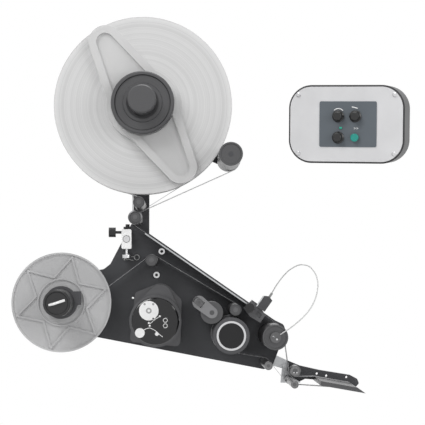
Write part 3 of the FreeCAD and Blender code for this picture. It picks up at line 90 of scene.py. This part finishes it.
def room_nodes(tree, target, colour, strength):
    """White to the camera and in reflections, and a plain surface to every other ray."""
    path = tree.nodes.new("ShaderNodeLightPath")
    most = tree.nodes.new("ShaderNodeMath")
    most.operation = "MAXIMUM"
    also = tree.nodes.new("ShaderNodeMath")
    also.operation = "MAXIMUM"
    tree.links.new(path.outputs["Is Camera Ray"], most.inputs[0])
    tree.links.new(path.outputs["Is Glossy Ray"], most.inputs[1])
    tree.links.new(most.outputs[0], also.inputs[0])
    tree.links.new(path.outputs["Is Transmission Ray"], also.inputs[1])
    return also


world = bpy.data.worlds.new("room")
world.use_nodes = True
scene.world = world
tree = world.node_tree
background = tree.nodes["Background"]
background.inputs["Color"].default_value = (1, 1, 1, 1)
shine = room_nodes(tree, None, None, None)
scale = tree.nodes.new("ShaderNodeMapRange")
scale.inputs["To Min"].default_value = 0.42
scale.inputs["To Max"].default_value = 1.0
tree.links.new(shine.outputs[0], scale.inputs["Value"])
tree.links.new(scale.outputs[0], background.inputs["Strength"])

floor_mesh = bpy.data.meshes.new("floor")
floor_level = cad_box[0][2] - 0.35
floor_mesh.from_pydata([(-9, -6, floor_level), (9, -6, floor_level), (9, 9, floor_level), (-9, 9, floor_level)],
                       [], [(0, 1, 2, 3)])
floor = bpy.data.objects.new("floor", floor_mesh)
scene.collection.objects.link(floor)
floor_finish = bpy.data.materials.new("pale_floor")
floor_finish.use_nodes = True
tree = floor_finish.node_tree
tree.nodes["Principled BSDF"].inputs["Base Color"].default_value = (0.86, 0.86, 0.86, 1)
tree.nodes["Principled BSDF"].inputs["Roughness"].default_value = 0.9
glow = tree.nodes.new("ShaderNodeEmission")
blend = tree.nodes.new("ShaderNodeMixShader")
shine = room_nodes(tree, None, None, None)
tree.links.new(shine.outputs[0], blend.inputs["Fac"])
tree.links.new(tree.nodes["Principled BSDF"].outputs[0], blend.inputs[1])
tree.links.new(glow.outputs[0], blend.inputs[2])
tree.links.new(blend.outputs[0], tree.nodes["Material Output"].inputs["Surface"])
floor_mesh.materials.append(floor_finish)

# ------------------------------------------------------------------ finishes of the castings and plates
# The plate, column, arms and brackets are milled aluminium with a matt black anodised coat:
# a fine blasted grain and a little cloudiness in the dye.


def shader(name):
    """A new material and its node tree, surface shader and node maker."""
    finish = bpy.data.materials.new(name)
    finish.use_nodes = True
    nodes = finish.node_tree.nodes
    return finish, finish.node_tree, nodes["Principled BSDF"]


def add(tree, kind, **settings):
    """A node with its settings; a setting named after an input fills that input."""
    node = tree.nodes.new("ShaderNode" + kind)
    for key, setting in settings.items():
        word = key.replace("_", " ").title()
        if word in node.inputs:
            node.inputs[word].default_value = setting
        else:
            setattr(node, key, setting)
    return node


def grain(tree, scale, stretch=(1, 1, 1), detail=3.0):
    """Noise on the piece's own coordinates, stretched along its axes."""
    where = add(tree, "TexCoord")
    mapping = add(tree, "Mapping")
    mapping.inputs["Scale"].default_value = stretch
    noise = add(tree, "TexNoise", scale=scale, detail=detail)
    tree.links.new(where.outputs["Object"], mapping.inputs["Vector"])
    tree.links.new(mapping.outputs[0], noise.inputs["Vector"])
    return noise


def ramp(tree, source, stops):
    """A colour ramp: stops are (position, colour)."""
    node = add(tree, "ValToRGB")
    elements = node.color_ramp.elements
    while len(elements) < len(stops):
        elements.new(0.5)
    for element, (position, colour) in zip(elements, stops):
        element.position = position
        element.color = (*colour, 1)
    tree.links.new(source, node.inputs["Fac"])
    return node


def span(tree, source, low, high):
    """A value from 0 to 1 spread between two limits."""
    node = add(tree, "MapRange")
    node.inputs["To Min"].default_value = low
    node.inputs["To Max"].default_value = high
    tree.links.new(source, node.inputs["Value"])
    return node


def relief(tree, surface, source, strength, distance):
    """Bump from a height."""
    bump = add(tree, "Bump")
    bump.inputs["Strength"].default_value = strength
    bump.inputs["Distance"].default_value = distance
    tree.links.new(source, bump.inputs["Height"])
    tree.links.new(bump.outputs[0], surface.inputs["Normal"])


def coated(name, colour, cloud, roughness, metallic, grain_size, bump=0.25, stretch=(1, 1, 1)):
    """A coat with a fine grain in its relief, clouds in its colour and uneven gloss."""
    finish, tree, surface = shader(name)
    surface.inputs["Metallic"].default_value = metallic
    clouds = grain(tree, 14, detail=4)
    dark = tuple(c * (1 - cloud) for c in colour)
    light = tuple(min(1, c * (1 + cloud)) for c in colour)
    tint = ramp(tree, clouds.outputs["Fac"], [(0.3, dark), (0.7, light)])
    tree.links.new(tint.outputs["Color"], surface.inputs["Base Color"])
    fine = grain(tree, grain_size, stretch, 2)
    gloss = span(tree, clouds.outputs["Fac"], roughness - 0.07, roughness + 0.07)
    tree.links.new(gloss.outputs[0], surface.inputs["Roughness"])
    relief(tree, surface, fine.outputs["Fac"], bump, 0.0002)
    return finish


def dress(finish, *names):
    """Give a finish to CAD nodes."""
    for name in names:
        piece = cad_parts[name]
        if piece.data.materials:
            for slot in piece.material_slots:
                slot.material = finish
        else:
            piece.data.materials.append(finish)


black_anodised = coated("black_anodised", (0.047, 0.048, 0.052), 0.12, 0.52, 0.35, 1500)
dress(black_anodised, "main_plate", "mounting_bracket", "reel_column", "peel_side_plate", "dancer_arm")

satin_black = coated("satin_black", (0.05, 0.05, 0.054), 0.1, 0.42, 0.1, 900, 0.15)
dress(satin_black, "disc_clamp", "sensor_body")
fork_grey = coated("fork_grey", (0.12, 0.12, 0.125), 0.1, 0.4, 0.4, 900, 0.15)
dress(fork_grey, "sensor_fork")

# ------------------------------------------------------------------ rollers
# Rollers are turned aluminium, dark anodised; fine tool marks run round their faces and along
# their sides. Pieces with two finishes, such as a dark cap in a bright ring, change at a radius.


def turned_metal(name, colour, roughness, centre, metallic=0.9, zones=()):
    """Turned metal: rings about the centre; zones are (radius, colour) outwards from the middle."""
    finish, tree, surface = shader(name)
    surface.inputs["Metallic"].default_value = metallic
    where = add(tree, "TexCoord")
    mapping = add(tree, "Mapping")
    mapping.inputs["Location"].default_value = (-centre[0], 0, -centre[2])
    flat = add(tree, "VectorMath", operation="MULTIPLY")
    flat.inputs[1].default_value = (1, 0, 1)
    reach = add(tree, "VectorMath", operation="LENGTH")
    parts = add(tree, "SeparateXYZ")
    along = add(tree, "Math", operation="ADD")
    rings = add(tree, "TexNoise", noise_dimensions="1D", scale=2200, detail=2)
    tree.links.new(where.outputs["Object"], mapping.inputs["Vector"])
    tree.links.new(mapping.outputs[0], flat.inputs[0])
    tree.links.new(flat.outputs[0], reach.inputs[0])
    tree.links.new(mapping.outputs[0], parts.inputs[0])
    tree.links.new(parts.outputs["Y"], along.inputs[0])
    tree.links.new(reach.outputs["Value"], along.inputs[1])
    tree.links.new(along.outputs[0], rings.inputs["W"])
    last = None
    for edge, shade in list(zones) + [(None, colour)]:
        tint = ramp(tree, rings.outputs["Fac"], [(0.25, tuple(c * 0.84 for c in shade)),
                                                 (0.75, tuple(min(1, c * 1.12) for c in shade))])
        if last is None:
            last = tint.outputs["Color"]
        else:
            outside = add(tree, "Math", operation="GREATER_THAN")
            outside.inputs[1].default_value = limit
            tree.links.new(reach.outputs["Value"], outside.inputs[0])
            choice = add(tree, "MixRGB")
            tree.links.new(outside.outputs[0], choice.inputs["Fac"])
            tree.links.new(last, choice.inputs["Color1"])
            tree.links.new(tint.outputs["Color"], choice.inputs["Color2"])
            last = choice.outputs["Color"]
        limit = edge
    tree.links.new(last, surface.inputs["Base Color"])
    gloss = span(tree, rings.outputs["Fac"], roughness - 0.08, roughness + 0.08)
    tree.links.new(gloss.outputs[0], surface.inputs["Roughness"])
    relief(tree, surface, rings.outputs["Fac"], 0.12, 0.00008)
    return finish


def middle(node):
    """The centre of a CAD node's box."""
    low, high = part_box(node)
    return (Vector(low) + Vector(high)) / 2


for node in ("upper_idler", "lower_idler", "upper_guide_roller", "lower_guide_roller", "end_roller",
             "dancer_roller", "pressure_roller"):
    dress(turned_metal(node + "_metal", (0.1, 0.1, 0.103), 0.36, middle(node)), node)
for node in ("return_roller", "peel_upper_roller", "peel_lower_roller"):
    dress(turned_metal(node + "_metal", (0.22, 0.22, 0.223), 0.3, middle(node)), node)
stud_metal = coated("stud_metal", (0.13, 0.13, 0.133), 0.08, 0.34, 0.9, 900, 0.1)
dress(stud_metal, "roller_axles")

steel = coated("bright_steel", (0.62, 0.62, 0.63), 0.06, 0.25, 1.0, 700, 0.08)
dress(steel, "cap_screws", "brake_strap", "brake_rod", "brake_thumbnut")
lever_grey = coated("lever_grey", (0.2, 0.2, 0.205), 0.1, 0.4, 0.8, 900, 0.15)
dress(lever_grey, "pressure_lever")
alloy = coated("bare_alloy", (0.55, 0.56, 0.57), 0.07, 0.36, 0.9, 800, 0.12)
dress(alloy, "bearing_housings", "web_tray", "supply_spindle", "motor_pulley", "rewind_pulley", "peel_bracket")
dress(coated("blade_metal", (0.09, 0.09, 0.093), 0.12, 0.3, 0.8, 700, 0.15, (1, 12, 1)), "peel_blade")
dress(turned_metal("drive_core_metal", (0.75, 0.75, 0.76), 0.16, middle("drive_core"), 0.95,
                   [(0.0211, (0.035, 0.035, 0.036))]), "drive_core")
dress(turned_metal("rewind_metal", (0.66, 0.66, 0.67), 0.3, middle("rewind_mandrel"), 0.4,
                   [(0.0235, (0.03, 0.03, 0.031))]), "rewind_mandrel")

rubber = coated("drive_rubber", (0.05, 0.05, 0.054), 0.1, 0.6, 0.0, 1800, 0.3)
dress(rubber, "drive_roller", "drive_belt", "rewind_belt")
dress(coated("cable_skin", (0.5, 0.5, 0.5), 0.05, 0.4, 0.0, 900, 0.05), "sensor_cable")
gloss_black = coated("gloss_black", (0.008, 0.008, 0.009), 0.1, 0.14, 0.0, 300, 0.02)
dress(gloss_black, "housing_cap", "drive_motor", "brake_knob", "sensor_knob")
dress(coated("housing_grey", (0.1, 0.1, 0.104), 0.12, 0.3, 0.7, 1200, 0.15), "motor_housing")

# ------------------------------------------------------------------ supply reel
# The hub is black turned plastic, the roll's side shows its windings, and the arm is milky plastic.
dress(turned_metal("hub_metal", (0.075, 0.075, 0.078), 0.34, middle("supply_hub"), 0.3), "supply_hub")


def wound(name, colour, centre, layer):
    """The side of a wound roll: thin rings whose shade differs a little from layer to layer."""
    finish, tree, surface = shader(name)
    where = add(tree, "TexCoord")
    mapping = add(tree, "Mapping")
    mapping.inputs["Location"].default_value = (-centre[0], 0, -centre[2])
    flat = add(tree, "VectorMath", operation="MULTIPLY")
    flat.inputs[1].default_value = (1, 0, 1)
    reach = add(tree, "VectorMath", operation="LENGTH")
    fine = add(tree, "TexNoise", noise_dimensions="1D", scale=1 / layer, detail=3)
    broad = add(tree, "TexNoise", noise_dimensions="1D", scale=90, detail=3)
    half = add(tree, "Math", operation="MULTIPLY")
    half.inputs[1].default_value = 0.5
    both = add(tree, "Math", operation="MULTIPLY_ADD")
    both.inputs[1].default_value = 0.5
    tree.links.new(where.outputs["Object"], mapping.inputs["Vector"])
    tree.links.new(mapping.outputs[0], flat.inputs[0])
    tree.links.new(flat.outputs[0], reach.inputs[0])
    tree.links.new(reach.outputs["Value"], fine.inputs["W"])
    tree.links.new(reach.outputs["Value"], broad.inputs["W"])
    tree.links.new(broad.outputs["Fac"], half.inputs[0])
    tree.links.new(fine.outputs["Fac"], both.inputs[0])
    tree.links.new(half.outputs[0], both.inputs[2])
    tint = ramp(tree, both.outputs[0], [(0.35, tuple(c * 0.82 for c in colour)), (0.62, colour)])
    tree.links.new(tint.outputs["Color"], surface.inputs["Base Color"])
    surface.inputs["Roughness"].default_value = 0.7
    relief(tree, surface, fine.outputs["Fac"], 0.25, 0.0004)
    return finish


dress(wound("label_paper", (0.6, 0.6, 0.6), middle("label_roll"), 0.0012), "label_roll")
dress(wound("liner_paper", (0.6, 0.59, 0.57), middle("wound_liner"), 0.0008), "wound_liner")
dress(coated("core_board", (0.42, 0.32, 0.2), 0.15, 0.8, 0, 400), "roll_core")
web_film = coated("web_film", (0.42, 0.42, 0.43), 0.06, 0.35, 0.0, 500, 0.05)
web_film.node_tree.nodes["Principled BSDF"].inputs["Alpha"].default_value = 0.7
dress(web_film, "label_web_run", "web_dancer_run", "web_dancer_wrap", "liner_run")
milky = coated("milky_plastic", (0.66, 0.66, 0.66), 0.04, 0.35, 0.0, 500, 0.05)
milky.node_tree.nodes["Principled BSDF"].inputs["Alpha"].default_value = 0.72
dress(milky, "retaining_arm")

# ------------------------------------------------------------------ rewind reel and brake block
# The disc is frosted clear plastic through which the core shows; the block is white acetal.
frosted = coated("frosted_plastic", (0.5, 0.5, 0.505), 0.05, 0.3, 0.0, 400, 0.1)
frosted.node_tree.nodes["Principled BSDF"].inputs["Alpha"].default_value = 0.75
dress(frosted, "rewind_disc")
dress(coated("white_plastic", (0.8, 0.8, 0.8), 0.03, 0.4, 0, 600, 0.05), "brake_block")

# ------------------------------------------------------------------ control box
# A black shell, a brushed silver face, a slate panel, ribbed black dials and a teal button.
dress(coated("box_shell", (0.03, 0.03, 0.032), 0.08, 0.45, 0.0, 800, 0.1), "box_body")
dress(coated("box_silver", (0.6, 0.6, 0.61), 0.05, 0.36, 0.5, 900, 0.1, (1, 1, 60)), "box_face")
dress(coated("panel_slate", (0.085, 0.1, 0.115), 0.05, 0.5, 0.0, 900, 0.05), "box_panel")
dress(coated("dial_black", (0.012, 0.012, 0.012), 0.1, 0.3, 0.0, 900, 0.1), "speed_knob", "delay_knob", "mode_knob")
dress(coated("button_teal", (0.01, 0.24, 0.2), 0.05, 0.3, 0.0, 900, 0.05), "start_button")

# ------------------------------------------------------------------ small marks and fittings
# Flat discs and rods: the threading diagram on the motor cap (discs and dots, no words), the
# marks on the panel, screw sockets with their shade painted in as dark discs, the sensor's strip and gland, the grip
# bar and the eyelet.
FACE_Y = -0.09


def solid_piece(name, points, faces, finish, body):
    """A piece from points and faces, riding on a body."""
    mesh = bpy.data.meshes.new(name)
    mesh.from_pydata([tuple(p) for p in points], [], faces)
    mesh.materials.append(finish)
    piece = bpy.data.objects.new(name, mesh)
    scene.collection.objects.link(piece)
    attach(piece, body)
    return piece


def washers(name, spots, finish, body, sides=40):
    """Discs or rings facing front: spots are (x, z, outer, inner, back depth, front depth) in mm."""
    points, faces = [], []
    turn = np.arange(sides) * 2 * math.pi / sides
    for x, z, outer, inner, back, front in spots:
        base = len(points)
        for radius, depth in ((outer, back), (outer, front), (max(inner, 0.01), front), (max(inner, 0.01), back)):
            ring = np.column_stack([x + radius * np.cos(turn), np.full(sides, -depth), z + radius * np.sin(turn)])
            points += list(ring / 1000 + np.array([0, FACE_Y, 0]))
        for k in range(4):
            for i in range(sides):
                j = (i + 1) % sides
                a, b = base + k * sides, base + (k + 1) % 4 * sides
                faces.append((a + i, a + j, b + j, b + i))
    return solid_piece(name, points, faces, finish, body)


def rods(name, runs, finish, body, sides=12):
    """Round rods along points (x, z, depth) in mm: runs are (points, radius, closed)."""
    points, faces = [], []
    for stops, radius, closed in runs:
        line = np.array([(x, -d, z) for x, z, d in stops], float)
        count = len(line)
        ahead = np.roll(line, -1, 0) - np.roll(line, 1, 0)
        if not closed:
            ahead[0] = line[1] - line[0]
            ahead[-1] = line[-1] - line[-2]
        ahead /= np.linalg.norm(ahead, axis=1)[:, None]
        side = np.cross(ahead, [0, 1, 0])
        flat = np.linalg.norm(side, axis=1) < 0.1
        side[flat] = np.cross(ahead[flat], [0, 0, 1])
        side /= np.linalg.norm(side, axis=1)[:, None]
        up = np.cross(side, ahead)
        base = len(points)
        for i in range(count):
            for k in range(sides):
                angle = 2 * math.pi * k / sides
                spot = line[i] + radius * (math.cos(angle) * side[i] + math.sin(angle) * up[i])
                points.append(spot / 1000 + np.array([0, FACE_Y, 0]))
        for i in range(count if closed else count - 1):
            a, b = base + i * sides, base + (i + 1) % count * sides
            faces += [(a + k, a + (k + 1) % sides, b + (k + 1) % sides, b + k) for k in range(sides)]
        if not closed:
            faces.append(tuple(base + k for k in reversed(range(sides))))
            faces.append(tuple(base + (count - 1) * sides + k for k in range(sides)))
    return solid_piece(name, points, faces, finish, body)


def circle_points(x, z, depth, radius, count=28):
    """Points round a circle that faces the front."""
    return [(x + radius * math.cos(2 * math.pi * i / count), z + radius * math.sin(2 * math.pi * i / count), depth)
            for i in range(count)]


print_white = coated("print_white", (0.75, 0.75, 0.75), 0.03, 0.5, 0.0, 600, 0.02)
print_grey = coated("print_grey", (0.3, 0.3, 0.3), 0.03, 0.5, 0.0, 600, 0.02)
# Near-black: the real colour of the clip on the brake block, and painted shade inside the screw sockets.
black_clip_and_socket_shade = coated("black_clip_and_socket_shade", (0.01, 0.01, 0.01), 0.1, 0.6, 0.0, 600, 0.1)
CAP = 66
washers("diagram_reels", [(-57.6, -45.4, 16.6, 0, CAP, CAP + 0.3), (-72.8, -83.2, 8.2, 0, CAP, CAP + 0.3),
                          (-43.8, -84.8, 3.2, 0, CAP, CAP + 0.3)]
        + [(x, z, 1.7, 0, CAP, CAP + 0.3) for x, z in ((-57.6, -66.2), (-56, -71), (-38.8, -54.8), (-50, -59))],
        print_white, "chassis")
washers("diagram_cores", [(-57.6, -45.4, 4.9, 2.4, CAP + 0.3, CAP + 0.45), (-64.8, -34.2, 2, 0, CAP + 0.3, CAP + 0.45),
                          (-50.2, -34.2, 2, 0, CAP + 0.3, CAP + 0.45)], print_grey, "chassis")
path = [(-68, -79.5), (-62, -76), (-56, -74.5), (-50, -77), (-44, -81), (-39, -86), (-34, -90)]
rods("diagram_path", [([(x, z, CAP) for x, z in path], 0.6, False),
                      ([(-56, -68, CAP), (-47, -60, CAP), (-39, -55, CAP)], 0.6, False),
                      (circle_points(-29.4, -61.7, CAP, 3.4), 0.6, True),
                      (circle_points(-29.4, -71, CAP, 3.4), 0.6, True)], print_white, "chassis")
rods("cap_glints", [([(-85.3, -55, 57.5), (-86.3, -60, 57.5), (-86.2, -66, 57.5)], 0.9, False),
                    ([(-7.5, -52, 57.5), (-6, -60, 57.5), (-7, -68, 57.5)], 0.9, False)], steel, "chassis")

mandrel = middle("rewind_mandrel") * 1000
mandrel_front = -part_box("rewind_mandrel")[0][1] * 1000 - 90
rods("grip_bar", [([(mandrel.x - 13, mandrel.z - 3, mandrel_front - 1), (mandrel.x - 5, mandrel.z - 1, mandrel_front + 1),
                    (mandrel.x + 4, mandrel.z + 2, mandrel_front + 1), (mandrel.x + 13, mandrel.z + 5, mandrel_front - 1)],
                   2.4, False)], coated("polished_bar", (0.8, 0.8, 0.8), 0.03, 0.12, 1.0, 500, 0.02), "rewind_reel")
rods("strap_eyelet", [(circle_points(-80, 46.5, 4, 4.4), 0.8, True), ([(-102, 44, 4), (-92, 47, 5), (-84, 48, 4)], 0.8, False),
                      ([(-103, 42, 4), (-94, 43, 4), (-86, 41, 4)], 0.7, False)],
     coated("dull_wire", (0.3, 0.3, 0.3), 0.05, 0.3, 1.0, 500, 0.05), "chassis")
rods("clip_on_block", [([(-103, 97.5, 14), (-92, 97.5, 14)], 2.2, False), ([(-96, 97.5, 14), (-96, 104, 14)], 3.6, False)],
     black_clip_and_socket_shade, "chassis")
# Painted shade: near-black discs on two screw heads stand in for the shade inside their hex sockets.
washers("screw_sockets", [(x, z, 2.6, 0, d, d + 0.25) for x, z, d in
                          ((-36.5, 57, 5), (-45.5, 15.8, 5))], black_clip_and_socket_shade, "chassis")
rods("sensor_strip", [([(127.2, -38.6, 55), (139.6, -20.6, 55)], 1.7, False)], alloy, "chassis")
rods("cable_gland", [([(146, -27, 52), (150, -21, 52.5), (153.5, -15.5, 54)], 2.1, False)], print_grey, "chassis")
washers("drive_rim", [(80.5, -85.5, 24.4, 21.4, 137.6, 139.2)], steel, "drive_body", 64)
washers("hub_screws", [(x, z, 1.6, 0, 146, 146.4) for x, z in ((149.5, -87), (155.5, -91))]
        + [(x, z, 1.3, 0, 40.4, 40.9) for x, z in ((192, -152.5), (197, -152.5))], steel, "chassis")

turn = Euler((math.radians(6), math.radians(1.85), math.radians(-16))).to_matrix()
BOX_FRONT = Vector((279.6, -170, 273.2))


def on_panel(x, z, out):
    """A point of the panel, in millimetres right of and above the box's middle, as (x, z, depth)."""
    spot = BOX_FRONT + turn @ Vector((x, -out, z))
    return spot.x, spot.z, -spot.y - 90


PANEL_FRONT = 4.6
rods("speed_mark", [([on_panel(-13.1 + 11 * math.cos(a), 15.5 + 11 * math.sin(a), PANEL_FRONT)
                      for a in np.linspace(2.3, 0.75, 9)], 0.9, False),
                    ([on_panel(10, 29.5, PANEL_FRONT), on_panel(20, 27, PANEL_FRONT)], 0.9, False),
                    ([on_panel(14, -8.2, PANEL_FRONT), on_panel(17, -7, PANEL_FRONT), on_panel(14, -5.8, PANEL_FRONT)],
                     0.6, False),
                    ([on_panel(18.5, -8.2, PANEL_FRONT), on_panel(21.5, -7, PANEL_FRONT), on_panel(18.5, -5.8, PANEL_FRONT)],
                     0.6, False)], print_white, "chassis")
rods("mode_mark", [([on_panel(-11, -6.5, PANEL_FRONT), on_panel(-6.5, -6.5, PANEL_FRONT)], 2.2, False)],
     coated("print_green", (0.03, 0.36, 0.25), 0.03, 0.5, 0.0, 600, 0.02), "chassis")
